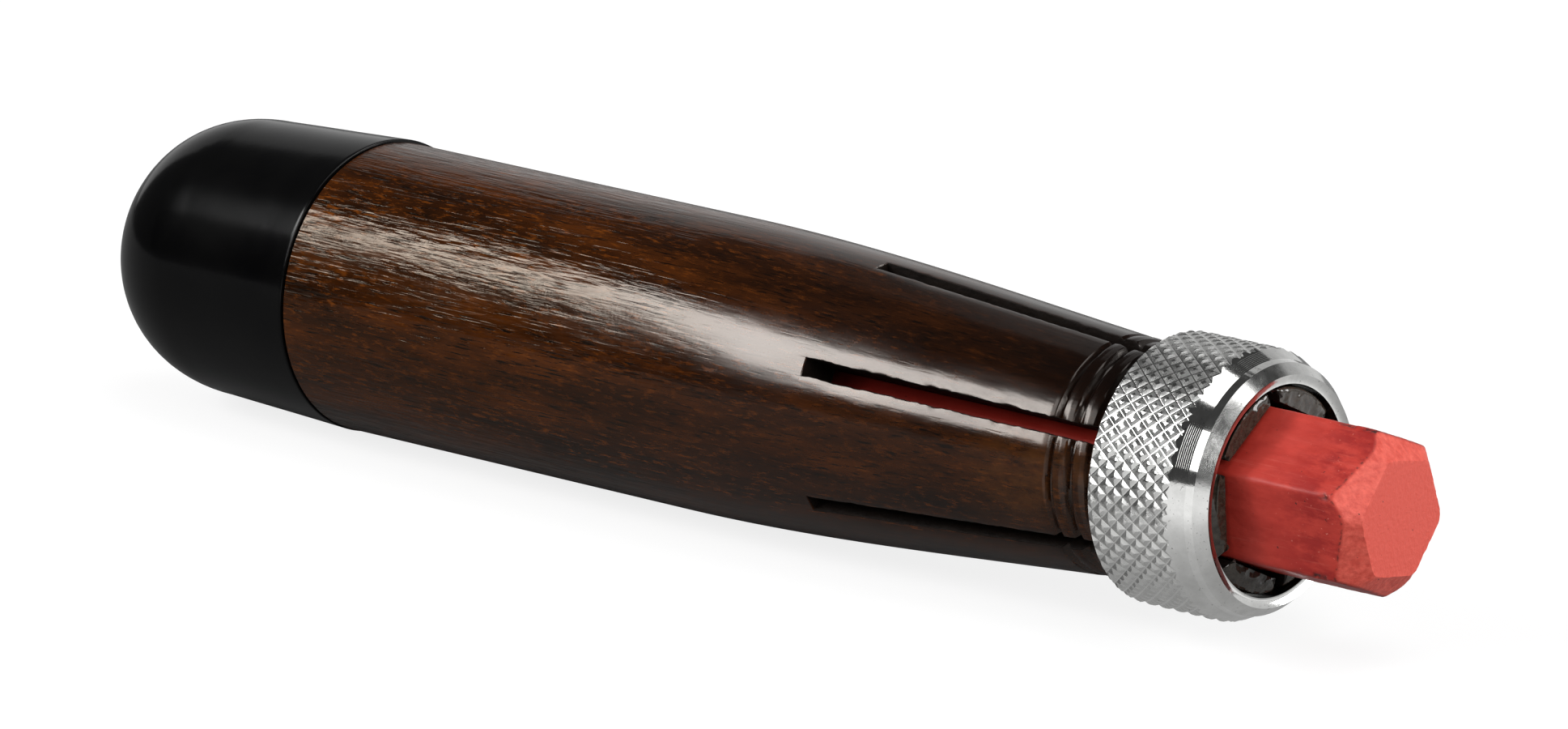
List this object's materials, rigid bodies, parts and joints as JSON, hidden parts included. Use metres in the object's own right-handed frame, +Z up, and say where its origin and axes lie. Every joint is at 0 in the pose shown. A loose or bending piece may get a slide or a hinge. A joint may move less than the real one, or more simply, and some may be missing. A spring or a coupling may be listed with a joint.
{
  "type": "lumber crayon holder",
  "caption": "Turned wooden holder with a slotted, tapered nose and a knurled ring that clamps a hexagonal lumber crayon; domed push-on cap at the rear.",
  "frame": {"origin": "under the middle of the holder's length, on the surface it lies on", "axes": "+X along the holder's axis towards the crayon's tip, +Z up, +Y to the left of the tip's direction"},
  "size_m": [0.1402, 0.0266, 0.0266],
  "materials": {
    "stained_wood": "dark walnut stain under gloss varnish",
    "aluminium": "bright turned and knurled",
    "black_vinyl": "satin",
    "red_wax": "matt pressed wax"
  },
  "bodies": {
    "handle": {"handle": "stained_wood"},
    "locking_ring": {"locking_ring": "aluminium"},
    "end_cap": {"end_cap": "black_vinyl"},
    "crayon": {"crayon": "red_wax"}
  },
  "joints": [
    {"name": "locking_ring_turn", "type": "hinge", "parent": "handle", "child": "locking_ring", "pos_m": [0.0525, 0, 0.01332], "axis": [1, 0, 0], "range_deg": [0, 720]},
    {"name": "crayon_feed", "type": "slide", "parent": "handle", "child": "crayon", "axis": [1, 0, 0], "range_m": [-0.012, 0.104]},
    {"name": "end_cap_pull", "type": "slide", "parent": "handle", "child": "end_cap", "axis": [-1, 0, 0], "range_m": [0, 0.017]}
  ]
}
